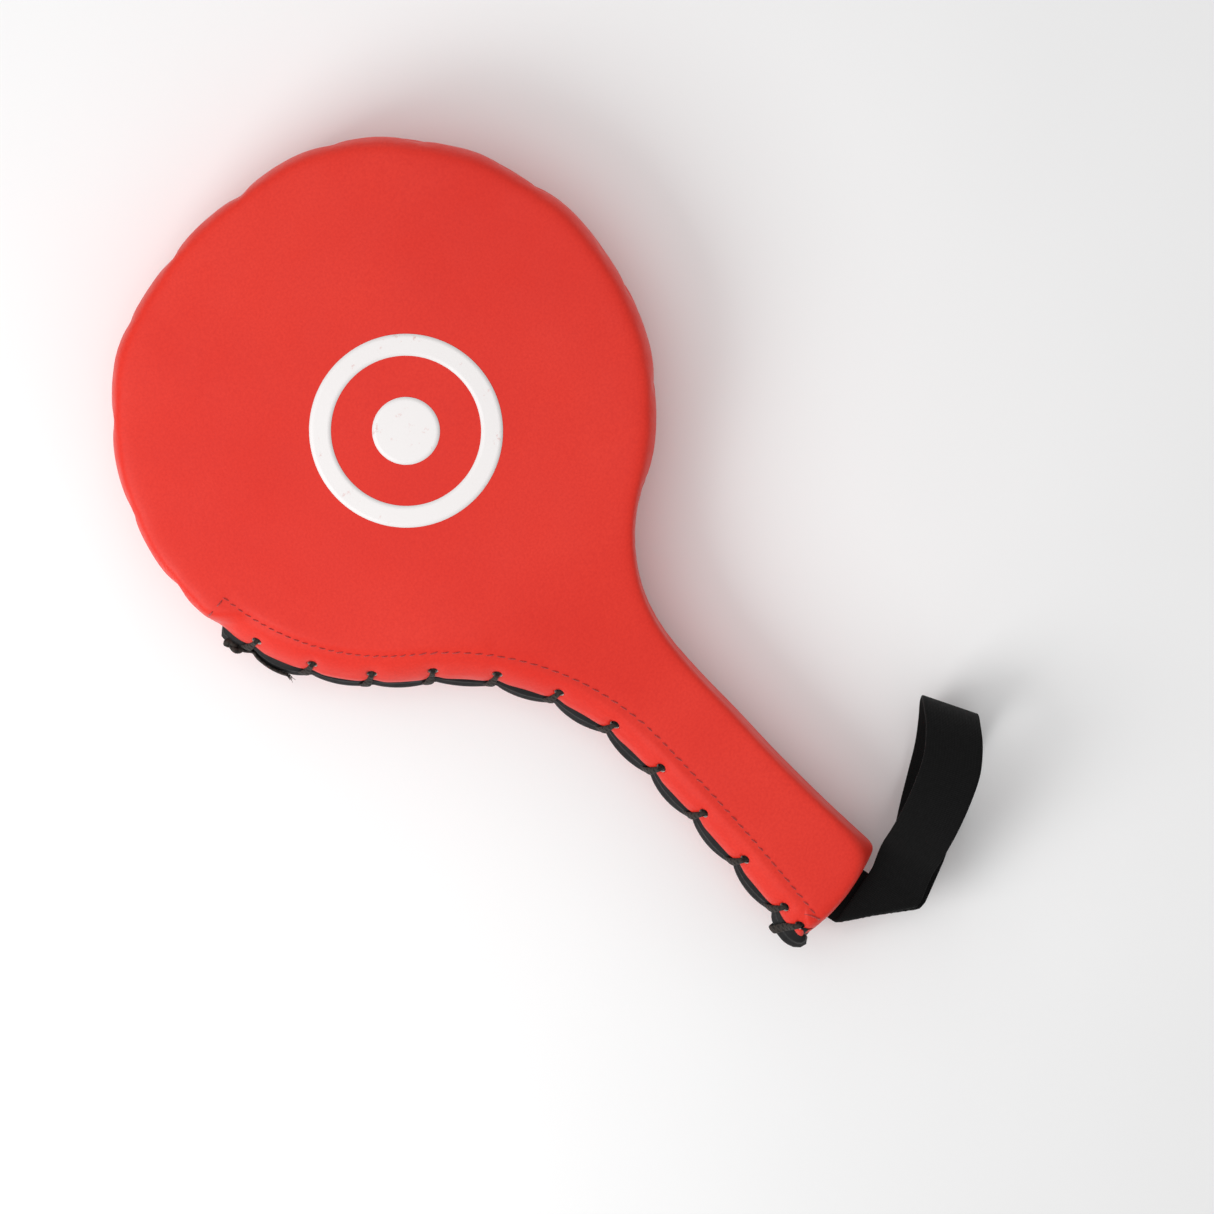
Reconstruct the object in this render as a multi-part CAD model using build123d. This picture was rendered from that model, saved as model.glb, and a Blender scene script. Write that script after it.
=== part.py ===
"""A round boxing paddle with a laced cover and an elastic wrist strap.

Millimetres. The paddle lies on its back face: +Z is its striking face, +Y points from the head's
centre to the head's top, and the handle runs towards -Y. The origin is on the back face, under
the head's centre. The cover's two panels meet at mid-thickness, in a seam on the +X side and over
a laced opening on the -X side.
"""

import os
from math import atan2, cos, degrees, hypot, pi, radians, sin, sqrt, tan

from build123d import *

# Driving dimensions
HEAD_RADIUS = 113.0
HEAD_THICKNESS = 48.0
HEAD_TOP = 107.5  # the head's top is flatter than its sides
TOP_RADIUS = 170.0
SHOULDER_RADIUS = 70.0
HANDLE_HALF_WIDTH = 22.0
HANDLE_THICKNESS = 34.0
SEAM_NECK_RADIUS = 70.0
LACE_NECK_RADIUS = 110.0
FLARE_START = -200.0
HANDLE_END = -282.3
SEAM_CORNER = (25.0, -275.0)
LACE_CORNER = (-26.0, -282.5)
CORNER_RADIUS = 10.0
WALL_SLOPE = 13.0  # degrees that the side walls lean in from the seam
RIM_RADIUS = 6.0
NECK_SLOPE_START = -85.0
NECK_SLOPE_END = -175.0

COVER = 1.3
FACING = 0.9
FACING_WIDTH = 14.0
BOARD = 4.0
BOARD_INSET = 8.5
IMPACT_FOAM = 10.0
FLANGE_WIDTH = 5.5
THREAD = 0.8
STITCH_PITCH = 5.0
STITCH_LENGTH = 3.4
STITCH_SUNK = 0.05

GAP_HALF = 7.5  # the laced opening, either side of mid-thickness
HOLE_HEIGHT = 11.0  # of the lace holes, from mid-thickness
HOLE_RADIUS = 2.6
HOLE_PITCH = 26.0
HOLE_COUNT = 11
LAST_HOLE_PITCH = 10.0
OPENING_START = 188.0  # degrees round the head from +X
FIRST_HOLE = 197.0
LACE = 2.2
LACE_BEND = 2.4
LACE_INSIDE = -5.3  # the cord's places out of the laced path: behind the covers,
LACE_OUTSIDE = 1.3  # over a cover's edge,
LACE_OVER = 3.0  # straight over the tongue,
LACE_SLANT = 3.7  # and slantwise over it
KNOT_RADIUS = 2.8
KNOT_OUT = 4.5
TONGUE_END = -276.8
TONGUE_OUTER = [(-7.4, 13.0), (-6.8, 5.0), (1.2, 1.2)]  # (out, up) from flange to ridge
TONGUE_INNER = [(-8.9, 13.0), (-8.4, 4.4), (-0.4, 0.6)]
CHANNEL_DEPTH = 9.0
CHANNEL_HALF = 14.0
CUT_REACH = 12.0  # of a cut through a wall, either side of the laced path
CUT_MARGIN = 1.0

RING_RADIUS = 40.0
RING_WIDTH = 9.0
DOT_RADIUS = 14.0
PRINT = 0.3
PRINT_CENTRE = (2.0, -12.0)

BAND = 25.0
BAND_THICKNESS = 1.8
STRAP_ANGLE = 27.7  # of the loop's run from +X, in plan
HINGE = (25.4, -291.1)
LOOP_LENGTH = 73.0
LOOP_HALF_HEIGHT = 23.4
LOOP_RISE_START = 5.0
LOOP_RISE_END = 26.0
LOOP_FALL_START = 52.0
LOOP_FAR_HALF_HEIGHT = 14.0
LOOP_BENDS = [8.0, 22.0, 20.0, 16.0]
STRAP_CLEARANCE = 0.6
TAB_SEAM = [(-28.6, 22.6), (-4.6, 18.0)]  # along the handle's end, in the strap's frame
TAB_FOLD_END = (-9.5, -12.5)
FOLD_LENGTH = 30.0  # of the tab's folded-back plies
TACKS = 6
TACK_LENGTH = 2.6
TACK_INSET = 4.5
TACK_START = 0.22  # as a share of the band's width
TACK_PITCH = 0.12

MID = HEAD_THICKNESS / 2


def towards(centre, radius, target):
    """The point of a circle that faces another point."""
    dx = target[0] - centre[0]
    dy = target[1] - centre[1]
    reach = hypot(dx, dy)
    return (centre[0] + dx / reach * radius, centre[1] + dy / reach * radius)


def halfway(a, b):
    return ((a[0] + b[0]) / 2, (a[1] + b[1]) / 2)


def on_head(angle, radius=HEAD_RADIUS):
    """A point of the head's circle, by its angle from +X in degrees."""
    return (radius * cos(radians(angle)), radius * sin(radians(angle)))


def circle_through(a, b, c):
    """Centre and radius of the circle through three points."""
    d = 2 * (a[0] * (b[1] - c[1]) + b[0] * (c[1] - a[1]) + c[0] * (a[1] - b[1]))
    squares = [p[0] ** 2 + p[1] ** 2 for p in (a, b, c)]
    x = (squares[0] * (b[1] - c[1]) + squares[1] * (c[1] - a[1]) + squares[2] * (a[1] - b[1])) / d
    y = (squares[0] * (c[0] - b[0]) + squares[1] * (a[0] - c[0]) + squares[2] * (b[0] - a[0])) / d
    return (x, y), hypot(a[0] - x, a[1] - y)


def crossing(one, one_radius, two, two_radius, near):
    """The crossing of two circles that lies nearest to a point."""
    apart = hypot(two[0] - one[0], two[1] - one[1])
    along = (one_radius**2 - two_radius**2 + apart**2) / (2 * apart)
    aside = sqrt(one_radius**2 - along**2)
    ux = (two[0] - one[0]) / apart
    uy = (two[1] - one[1]) / apart
    foot = (one[0] + along * ux, one[1] + along * uy)
    both = [(foot[0] - k * aside * uy, foot[1] + k * aside * ux) for k in (-1, 1)]
    return min(both, key=lambda p: hypot(p[0] - near[0], p[1] - near[1]))


def neck(side, radius, inset=0.0):
    """The fillet between head and handle: its two ends and its middle."""
    x = side * (HANDLE_HALF_WIDTH + radius)
    y = -sqrt((HEAD_RADIUS + radius) ** 2 - x**2)
    head_point = towards((0, 0), HEAD_RADIUS - inset, (x, y))
    handle_point = (side * (HANDLE_HALF_WIDTH - inset), y)
    middle = towards((x, y), radius + inset, halfway(head_point, handle_point))
    return head_point, middle, handle_point


def shoulder(side, inset):
    """The arc between the head's circle and its flatter top: its two ends and its middle."""
    top_centre = (0.0, HEAD_TOP - TOP_RADIUS)
    a = HEAD_RADIUS - SHOULDER_RADIUS
    b = TOP_RADIUS - SHOULDER_RADIUS
    y = (b**2 - a**2 - top_centre[1] ** 2) / (-2 * top_centre[1])
    centre = (side * sqrt(a**2 - y**2), y)
    start = towards((0, 0), HEAD_RADIUS - inset, centre)
    end = towards(top_centre, TOP_RADIUS - inset, centre)
    return start, towards(centre, SHOULDER_RADIUS - inset, halfway(start, end)), end


def flare(corner, inset):
    """Start and end of the handle's widening side, and the circle that it follows."""
    side = 1 if corner[0] > 0 else -1
    widening = abs(corner[0]) - HANDLE_HALF_WIDTH
    radius = ((FLARE_START - corner[1]) ** 2 + widening**2) / (2 * widening)
    centre = (side * (HANDLE_HALF_WIDTH + radius), FLARE_START)
    end_centre, end_radius = circle_through(LACE_CORNER, (2, HANDLE_END), SEAM_CORNER)
    end = crossing(centre, radius + inset, end_centre, end_radius - inset, corner)
    start = (side * (HANDLE_HALF_WIDTH - inset), FLARE_START)
    return start, towards(centre, radius + inset, halfway(start, end)), end


def outline(inset=0.0):
    """The cover's outline at its seam, seen from the front, or a smaller one inside it."""
    right = shoulder(1, inset)
    left = shoulder(-1, inset)
    right_neck = neck(1, SEAM_NECK_RADIUS, inset)
    left_neck = neck(-1, LACE_NECK_RADIUS, inset)
    right_flare = flare(SEAM_CORNER, inset)
    left_flare = flare(LACE_CORNER, inset)
    edges = [
        ThreePointArc(right[2], (0, HEAD_TOP - inset), left[2]),
        ThreePointArc(*reversed(left)),
        ThreePointArc(left[0], on_head(180, HEAD_RADIUS - inset), left_neck[0]),
        ThreePointArc(*left_neck),
        Line(left_neck[2], left_flare[0]),
        ThreePointArc(*left_flare),
        ThreePointArc(left_flare[2], (2, HANDLE_END + inset), right_flare[2]),
        ThreePointArc(*reversed(right_flare)),
        Line(right_flare[0], right_neck[2]),
        ThreePointArc(*reversed(right_neck)),
        ThreePointArc(right_neck[0], on_head(0, HEAD_RADIUS - inset), right[0]),
        ThreePointArc(*right),
    ]
    face = make_face(edges)
    corners = [v for v in face.vertices() if v.Y < FLARE_START - 30]
    return fillet(corners, CORNER_RADIUS - inset)


def half_thickness(y):
    """Of the covered paddle, from the head down the neck's S-curve to the handle."""
    drop = (HEAD_THICKNESS - HANDLE_THICKNESS) / 2
    length = NECK_SLOPE_START - NECK_SLOPE_END
    bend = (length**2 + drop**2) / (4 * drop)
    down = min(max(NECK_SLOPE_START - y, 0), length)
    if down <= length / 2:
        return MID - (bend - sqrt(bend**2 - down**2))
    rest = length - down
    return MID - drop + (bend - sqrt(bend**2 - rest**2))


def side_profile(inset):
    """The region under the front surface, seen along X, down to mid-thickness."""
    high = HEAD_THICKNESS - inset
    low = MID + HANDLE_THICKNESS / 2 - inset
    middle_y = (NECK_SLOPE_START + NECK_SLOPE_END) / 2
    middle = (middle_y, (high + low) / 2)
    edges = [
        Line((150, MID), (150, high)),
        Line((150, high), (NECK_SLOPE_START, high)),
        TangentArc([(NECK_SLOPE_START, high), middle], tangent=(-1, 0)),
        TangentArc([(NECK_SLOPE_END, low), middle], tangent=(1, 0)),
        Line((NECK_SLOPE_END, low), (-320, low)),
        Line((-320, low), (-320, MID)),
        Line((-320, MID), (150, MID)),
    ]
    return Plane.YZ * make_face(edges)


def front_half(inset):
    """Half of the stuffed shape: leaning side walls, the side profile and a rounded rim."""
    height = MID + 5
    lean = height * tan(radians(WALL_SLOPE))
    foot = Pos(0, 0, MID) * outline(inset)
    head = Pos(0, 0, MID + height) * outline(inset + lean)
    walls = loft([foot, head], ruled=True)
    profile = extrude(side_profile(inset), 150, both=True)
    half = walls & profile
    rim = [
        e
        for e in half.edges()
        if e.center().Z > MID + HANDLE_THICKNESS / 2 - inset - 1 and on_rim(e, inset)
    ]
    return fillet(rim, RIM_RADIUS - inset)


def on_rim(edge, inset):
    """True for the edges between the side walls and the front surface."""
    middle = edge @ 0.5
    surface = MID + half_thickness(middle.Y) - inset
    if abs(middle.Z - surface) > 0.3:
        return False
    return abs(middle.X) > 1 or middle.Y > 80 or middle.Y < -260


def to_back(shape):
    """Mirror a front piece to the back."""
    return mirror(shape, about=Plane((0, 0, MID), z_dir=(0, 0, 1)))


def laced_path():
    """The seam outline's laced stretch, from the head to the handle's end."""
    head_point, middle, handle_point = neck(-1, LACE_NECK_RADIUS)
    widening = flare(LACE_CORNER, 0)
    turn = degrees(atan2(head_point[1], head_point[0])) % 360
    round_head = ThreePointArc(
        on_head(OPENING_START), on_head((OPENING_START + turn) / 2), head_point
    )
    round_neck = ThreePointArc(head_point, middle, handle_point)
    return Wire([round_head, round_neck, Line(handle_point, widening[0]), ThreePointArc(*widening)])


LACED = laced_path()


def laced_frame(distance):
    """Plane at a distance along the laced path: x out of the paddle, y along, z up."""
    point = LACED @ (distance / LACED.length)
    along = LACED % (distance / LACED.length)
    out = Vector(along.Y, -along.X, 0)
    return Plane(origin=(point.X, point.Y, MID), x_dir=out, z_dir=(0, 0, 1))


def laced_sweep(corners):
    """Sweep a section, given as (out, up) corners, along the laced path."""
    frame = laced_frame(0)
    section = Plane(origin=frame.origin, x_dir=frame.x_dir, z_dir=-frame.y_dir)
    face = section * make_face(Polyline(*corners, close=True))
    return sweep(face, path=Pos(0, 0, MID) * LACED)


def box_section(out_low, out_high, up_low, up_high):
    return [(out_low, up_low), (out_high, up_low), (out_high, up_high), (out_low, up_high)]


def hole_distances():
    """Along the laced path: evenly spaced, with one extra hole close to the last."""
    first = radians(FIRST_HOLE - OPENING_START) * HEAD_RADIUS
    even = [first + i * HOLE_PITCH for i in range(HOLE_COUNT)]
    return even + [even[-1] + LAST_HOLE_PITCH]


def lace_holes():
    """Punches through the front wall."""
    punch = Rot(0, 90, 0) * Cylinder(HOLE_RADIUS, 2 * CUT_REACH)
    return [laced_frame(d) * Pos(0, 0, HOLE_HEIGHT) * punch for d in hole_distances()]


def front_cover():
    shell = front_half(0) - front_half(COVER)
    shell -= laced_sweep(box_section(-CHANNEL_DEPTH, CHANNEL_DEPTH, -CUT_MARGIN, GAP_HALF))
    seam = extrude(Pos(0, 0, MID) * (outline(COVER - 0.2) - outline(COVER + FLANGE_WIDTH)), COVER)
    seam -= laced_sweep(box_section(-CUT_REACH, CUT_REACH, -CUT_MARGIN, GAP_HALF))
    for hole in lace_holes():
        shell -= hole
    return shell + seam.solids().sort_by(SortBy.VOLUME)[-1]


def hem_facing():
    """The turned-in strip under the laced edge of the front cover."""
    strip = front_half(COVER) - front_half(COVER + FACING)
    strip &= laced_sweep(box_section(-FACING_WIDTH, CUT_REACH, GAP_HALF, MID + CUT_MARGIN))
    for hole in lace_holes():
        strip -= hole
    return strip


def foam_layers(facing):
    """Front soft foam and impact foam, clear of the seam flange and the lace channel."""
    core = front_half(COVER) - facing
    core -= laced_sweep(box_section(-CHANNEL_DEPTH, CUT_REACH, -CUT_MARGIN, CHANNEL_HALF))
    board_top = MID + BOARD / 2
    cut = board_top + IMPACT_FOAM
    slab = extrude(Pos(0, 0, board_top) * outline(0), IMPACT_FOAM)
    impact = core & slab
    above = extrude(Pos(0, 0, cut) * outline(0), MID)
    soft = core & above
    return soft, impact


def stiffener_board():
    return extrude(Pos(0, 0, MID - BOARD / 2) * outline(BOARD_INSET), BOARD)


def lace_tongue():
    """An arched strip: flanges along the foam, and a ridge that fills the opening."""
    half = [*reversed(TONGUE_OUTER), *TONGUE_INNER]
    strip = laced_sweep([*half, *[(out, -up) for out, up in reversed(half)]])
    return strip & Pos(-70, TONGUE_END + 150, MID) * Box(140, 300, 40)


def lace_route():
    """The cord's points: straight over the tongue at each pair of holes, then under the covers'
    edges and slantwise over the tongue to the next pair."""
    across = [
        (LACE_INSIDE, HOLE_HEIGHT),
        (LACE_OUTSIDE, HOLE_HEIGHT + 0.2),
        (LACE_OVER, 0.0),
        (LACE_OUTSIDE, -HOLE_HEIGHT - 0.2),
        (LACE_INSIDE, -HOLE_HEIGHT),
    ]
    tucked = LACE_INSIDE + 0.2
    slant = [
        (0.12, tucked, -5.2),
        (0.43, LACE_SLANT, -2.4),
        (0.57, LACE_SLANT, 2.4),
        (0.88, tucked, 5.2),
    ]
    holes = hole_distances()
    points = []
    for here, there in zip([holes[0] - HOLE_PITCH] + holes, holes):
        points += [laced_point(here + a * (there - here), out, up) for a, out, up in slant]
        points += [laced_point(there, out, up) for out, up in across]
    first_knot = laced_point(holes[0] - HOLE_PITCH * 0.4, KNOT_OUT, 2.0)
    last_knot = laced_point(holes[-1] + 1, KNOT_OUT, -1.0)
    return [first_knot, *points[3:-3], last_knot]


def laced_point(distance, out, up):
    """A point by its distance along the laced path, outwards, and up from mid-thickness."""
    return laced_frame(distance).from_local_coords(Vector(out, 0, up))


def corner_radii(points):
    """As large as the two runs at each corner allow, up to the pull of a tight cord."""
    radii = []
    for before, here, after in zip(points, points[1:], points[2:]):
        run = min((here - before).length, (after - here).length)
        turn = (here - before).get_angle(after - here)
        radii.append(min(0.45 * run / tan(radians(turn) / 2), LACE_BEND))
    return radii


def lace():
    """One cord, held by the holes all the way, with a knot at each end."""
    points = lace_route()
    radii = corner_radii(points)
    route = FilletPolyline(*points, radius=radii)
    print(f"lace: {route.length:.0f} mm long, smallest bend {min(radii):.1f} mm")
    section = Plane(origin=points[0], z_dir=points[1] - points[0]) * Circle(LACE / 2)
    cord = sweep(section, path=route)
    expected = pi * LACE**2 / 4 * route.length
    print(f"lace volume over section times length: {cord.volume / expected:.4f}")
    for end in (points[0], points[-1]):
        cord += Pos(end.X, end.Y, end.Z) * Sphere(KNOT_RADIUS)
    return cord


def hem_stitches():
    """Dashes pulled down into the front cover, along the facing's inner edge."""
    stitches = []
    for i in range(1, int(LACED.length / STITCH_PITCH)):
        place = laced_point(i * STITCH_PITCH, -FACING_WIDTH, 0)
        height = half_thickness(place.Y) - STITCH_SUNK - THREAD / 4
        dash = Box(THREAD, STITCH_LENGTH, THREAD / 2)
        stitches.append(laced_frame(i * STITCH_PITCH) * Pos(-FACING_WIDTH, 0, height) * dash)
    return stitches


def side_seam_thread():
    """The lockstitch's two threads, lying on the seam's flanges inside the cover."""
    inset = COVER + FLANGE_WIDTH * 0.6
    ring = outline(inset) - outline(inset + THREAD)
    height = BOARD / 2 - COVER
    threads = []
    for low in (MID + COVER, MID - COVER - height):
        band = extrude(Pos(0, 0, low) * ring, height)
        band -= laced_sweep(box_section(-CUT_REACH, CUT_REACH, -CHANNEL_HALF, CHANNEL_HALF))
        threads.append(band.solids().sort_by(SortBy.VOLUME)[-1])
    return threads


def front_print():
    """A ring and dot, pressed flush into the striking face."""
    ring = Circle(RING_RADIUS) - Circle(RING_RADIUS - RING_WIDTH)
    place = Pos(PRINT_CENTRE[0], PRINT_CENTRE[1], HEAD_THICKNESS - PRINT)
    return [extrude(place * ring, PRINT), extrude(place * Circle(DOT_RADIUS), PRINT)]


STRAP_FRAME = Pos(HINGE[0], HINGE[1], MID) * Rot(0, 0, STRAP_ANGLE)
KNUCKLE = 2 * BAND_THICKNESS + 0.2


def wrist_strap():
    """A teardrop loop of elastic, one band wide, whose two plies meet in a round nose."""
    peak = LOOP_HALF_HEIGHT
    top = [
        (LOOP_RISE_START, KNUCKLE),
        (LOOP_RISE_END, peak),
        (LOOP_FALL_START, peak),
        (LOOP_LENGTH, LOOP_FAR_HALF_HEIGHT),
    ]
    bottom = [(x, -z) for x, z in reversed(top)]
    bends = [*LOOP_BENDS, *reversed(LOOP_BENDS)]
    plies = FilletPolyline((0, KNUCKLE), *top, *bottom, (0, -KNUCKLE), radius=bends)
    nose = ThreePointArc((0, -KNUCKLE), (-KNUCKLE, 0), (0, KNUCKLE))
    outer = make_face([*plies.edges(), nose])
    ring = outer - offset(outer, -BAND_THICKNESS)
    return STRAP_FRAME * extrude(Plane.XZ * ring, BAND / 2, both=True)


def strap_root_tab():
    """The band's two ends: out of the handle's end seam, then folded along a slanted line."""
    half = BAND / 2
    face_end = -KNUCKLE - STRAP_CLEARANCE
    corners = [*TAB_SEAM, (face_end, half), (face_end, -half), TAB_FOLD_END]
    root = make_face(Polyline(*corners, close=True))
    folded_back = root & Pos(face_end - FOLD_LENGTH / 2, 0) * Rectangle(FOLD_LENGTH, BAND)
    plates = extrude(root, BAND_THICKNESS, both=True) + extrude(folded_back, KNUCKLE, both=True)
    tab = STRAP_FRAME * plates
    return tab - (front_half(-STRAP_CLEARANCE / 2) + to_back(front_half(-STRAP_CLEARANCE / 2)))


def tack_stitches():
    """Two rows of short bars, on the tab's front and back, close to the handle's end."""
    start = Vector(*TAB_SEAM[0])
    along = Vector(*TAB_SEAM[1]) - start
    turn = degrees(atan2(along.Y, along.X))
    bar = Box(THREAD, TACK_LENGTH, THREAD / 2)
    bars = []
    for i in range(TACKS):
        foot = start + along * (TACK_START + TACK_PITCH * i)
        for up in (BAND_THICKNESS + THREAD / 4, -BAND_THICKNESS - THREAD / 4):
            lower = Pos(foot.X, foot.Y, up) * Rot(0, 0, turn) * Pos(0, -TACK_INSET, 0)
            bars.append(STRAP_FRAME * lower * bar)
    return bars


def main():
    os.makedirs("parts", exist_ok=True)
    facing = hem_facing()
    soft, impact = foam_layers(facing)
    cover = front_cover()
    dashes = hem_stitches()
    prints = front_print()
    pieces = {
        "front_cover": cover - prints,
        "back_cover": to_back(cover),
        "front_print": Compound(prints),
        "front_hem_facing": facing,
        "back_hem_facing": to_back(facing),
        "front_soft_foam": soft,
        "front_impact_foam": impact,
        "stiffener_board": stiffener_board(),
        "back_impact_foam": to_back(impact),
        "back_soft_foam": to_back(soft),
        "lace_tongue": lace_tongue(),
        "lace": lace(),
        "front_hem_stitching": Compound(dashes),
        "back_hem_stitching": Compound([to_back(d) for d in dashes]),
        "side_seam_thread": Compound(side_seam_thread()),
        "wrist_strap": wrist_strap(),
        "strap_root_tab": strap_root_tab(),
        "strap_tack_stitching": Compound(tack_stitches()),
    }
    for node, shape in pieces.items():
        export_step(shape, f"parts/{node}.step")


main()
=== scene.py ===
"""The looks of a round boxing paddle with a laced cover and an elastic wrist strap.

The paddle lies on its back face. Shapes are worked out in millimetres and become metres when
a mesh is made. "Out" is away from the paddle's outline, "up" is from mid-thickness.
"""

import math
import random

import bmesh
import bpy
import numpy as np
from mathutils import Matrix, Vector
from mathutils.bvhtree import BVHTree
from mathutils.geometry import delaunay_2d_cdt


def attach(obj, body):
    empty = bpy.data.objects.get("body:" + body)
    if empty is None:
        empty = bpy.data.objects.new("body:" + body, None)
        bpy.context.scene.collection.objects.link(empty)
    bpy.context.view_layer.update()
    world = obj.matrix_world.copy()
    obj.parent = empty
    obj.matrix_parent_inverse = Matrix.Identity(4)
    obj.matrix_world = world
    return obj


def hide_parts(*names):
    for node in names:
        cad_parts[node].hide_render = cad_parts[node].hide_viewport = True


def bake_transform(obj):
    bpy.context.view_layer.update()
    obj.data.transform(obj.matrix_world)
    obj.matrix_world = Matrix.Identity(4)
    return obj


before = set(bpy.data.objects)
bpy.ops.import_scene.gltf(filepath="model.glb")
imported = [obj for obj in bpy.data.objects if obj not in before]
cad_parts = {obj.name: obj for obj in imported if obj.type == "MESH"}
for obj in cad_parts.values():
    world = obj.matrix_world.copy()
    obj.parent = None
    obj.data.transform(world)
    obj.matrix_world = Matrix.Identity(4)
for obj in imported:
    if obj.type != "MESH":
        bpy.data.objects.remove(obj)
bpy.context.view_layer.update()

MM = 0.001
MID = 24.0

# The outline at the seam
HEAD_RADIUS = 113.0
TOP_RADIUS = 170.0
HEAD_TOP = 107.5
SHOULDER_RADIUS = 70.0
HANDLE_HALF_WIDTH = 22.0
SEAM_NECK_RADIUS = 70.0
LACE_NECK_RADIUS = 110.0
FLARE_START = -200.0
FLARE_BEND = -240.0
LACE_CORNER = (-26.0, -282.5)
SEAM_CORNER = (25.0, -275.0)
END_BEND = (0.5, -286.5)
CORNER_BLUR = 2.2
OUTLINE_SAMPLES = 2048

# Half thickness, from the head down to the handle
HEAD_HALF = 24.0
HANDLE_HALF = 17.0
NECK_SLOPE_START = -85.0
NECK_SLOPE_END = -175.0

# The laced opening, by distance along the outline; one more hole follows the even ones
OPENING_START = 188.0
OPENING_LENGTH = 294.0
FIRST_HOLE = 17.75
HOLE_PITCH = 26.0
EVEN_HOLES = 11
LAST_HOLE_PITCH = 10.0
HOLE_RADIUS = 2.1
HOLE_INSET = 4.0
STITCH_INSET = 12.0
STITCH_PITCH = 4.2
STITCH_START = -4.0
TURN_BACK = -5.0
EDGE_UP = 7.5

COVER = 1.5
FACING = 0.9
SOFT_FOAM_UP = 12.3
THREAD = 0.62
BAND = 25.0
BAND_THICKNESS = 1.6
SPACING_COUNT = 330
LATTICE = 7.0

HINGE = (25.4, -291.1)
RUN = Vector((0.8854, 0.4648))
ACROSS = Vector((0.4648, -0.8854))


# ---------------------------------------------------------------- curves

def smooth(x):
    x = np.clip(x, 0.0, 1.0)
    return x * x * (3 - 2 * x)


def arc(centre, radius, start, end):
    """Points of an arc, from one angle to another in degrees."""
    count = max(3, int(abs(math.radians(end - start)) * radius))
    turn = np.radians(np.linspace(start, end, count))
    return np.stack([centre[0] + radius * np.cos(turn), centre[1] + radius * np.sin(turn)], 1)


def bow(start, control, end, count=60):
    """Points of a curve that leaves start and reaches end in line with its control point."""
    t = np.linspace(0, 1, count)[:, None]
    start, control, end = (np.array(p, float) for p in (start, control, end))
    return (1 - t) ** 2 * start + 2 * t * (1 - t) * control + t**2 * end


def neck_centre(side, radius):
    x = side * (HANDLE_HALF_WIDTH + radius)
    return (x, -math.sqrt((HEAD_RADIUS + radius) ** 2 - x**2))


def bearing(point):
    return math.degrees(math.atan2(point[1], point[0]))


def resampled(points, count):
    """A closed line's points, evenly spaced."""
    closed = np.vstack([points, points[:1]])
    steps = np.linalg.norm(np.diff(closed, axis=0), axis=1)
    travel = np.concatenate([[0], np.cumsum(steps)])
    places = np.linspace(0, travel[-1], count, endpoint=False)
    return np.stack([np.interp(places, travel, closed[:, k]) for k in (0, 1)], 1), travel[-1]


def outline():
    """The seam's line, from the head end of the opening, down the laced side and round."""
    left = neck_centre(-1, LACE_NECK_RADIUS)
    right = neck_centre(1, SEAM_NECK_RADIUS)
    top = (0.0, HEAD_TOP - TOP_RADIUS)
    near = HEAD_RADIUS - SHOULDER_RADIUS
    far = TOP_RADIUS - SHOULDER_RADIUS
    y = (far**2 - near**2 - top[1] ** 2) / (-2 * top[1])
    shoulder = (math.sqrt(near**2 - y**2), y)
    low = bearing(shoulder)
    high = bearing((shoulder[0], shoulder[1] - top[1]))
    parts = [
        arc((0, 0), HEAD_RADIUS, OPENING_START, bearing(left) + 360),
        arc(left, LACE_NECK_RADIUS, bearing(left) + 180, 0),
        bow((-HANDLE_HALF_WIDTH, FLARE_START), (-HANDLE_HALF_WIDTH, FLARE_BEND), LACE_CORNER),
        bow(LACE_CORNER, END_BEND, SEAM_CORNER),
        bow(SEAM_CORNER, (HANDLE_HALF_WIDTH, FLARE_BEND), (HANDLE_HALF_WIDTH, FLARE_START)),
        arc(right, SEAM_NECK_RADIUS, 180, bearing(right) + 180),
        arc((0, 0), HEAD_RADIUS, bearing(right), low),
        arc(shoulder, SHOULDER_RADIUS, low, high),
        arc(top, TOP_RADIUS, high, 180 - high),
        arc((-shoulder[0], y), SHOULDER_RADIUS, 180 - high, 180 - low),
        arc((0, 0), HEAD_RADIUS, 180 - low, OPENING_START),
    ]
    line = np.vstack(parts)
    keep = np.linalg.norm(line - np.roll(line, 1, axis=0), axis=1) > 1e-6
    return resampled(line[keep], OUTLINE_SAMPLES)


LINE, LENGTH = outline()
TRAVEL = np.arange(OUTLINE_SAMPLES) / OUTLINE_SAMPLES * LENGTH


def blurred(values, width):
    """Values round the outline, smoothed over a width in mm."""
    frequency = np.fft.fftfreq(OUTLINE_SAMPLES, LENGTH / OUTLINE_SAMPLES)
    gain = np.exp(-2 * (math.pi * frequency * width) ** 2)
    wave = np.fft.fft(values, axis=0)
    return np.real(np.fft.ifft(wave * (gain if values.ndim == 1 else gain[:, None]), axis=0))


def outward(line):
    along = np.roll(line, -1, axis=0) - np.roll(line, 1, axis=0)
    along /= np.linalg.norm(along, axis=1)[:, None]
    return np.stack([along[:, 1], -along[:, 0]], 1)


def ring(inset):
    """The outline moved inwards by insets in mm, rounder where it lies deeper."""
    depth = float(np.max(inset))
    line = blurred(LINE, CORNER_BLUR + max(depth - 2, 0) * 0.95)
    return line - outward(line) * np.asarray(inset)[:, None]


EDGE = ring(np.zeros(OUTLINE_SAMPLES))
EDGE_OUT = outward(EDGE)


def at_travel(values, travel):
    """Values round the outline, at distances along it."""
    travel = np.asarray(travel) % LENGTH
    wrapped = np.append(TRAVEL, LENGTH)
    if values.ndim == 1:
        return np.interp(travel, wrapped, np.append(values, values[0]))
    return np.stack([at_travel(values[:, k], travel) for k in range(values.shape[1])], -1)


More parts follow.
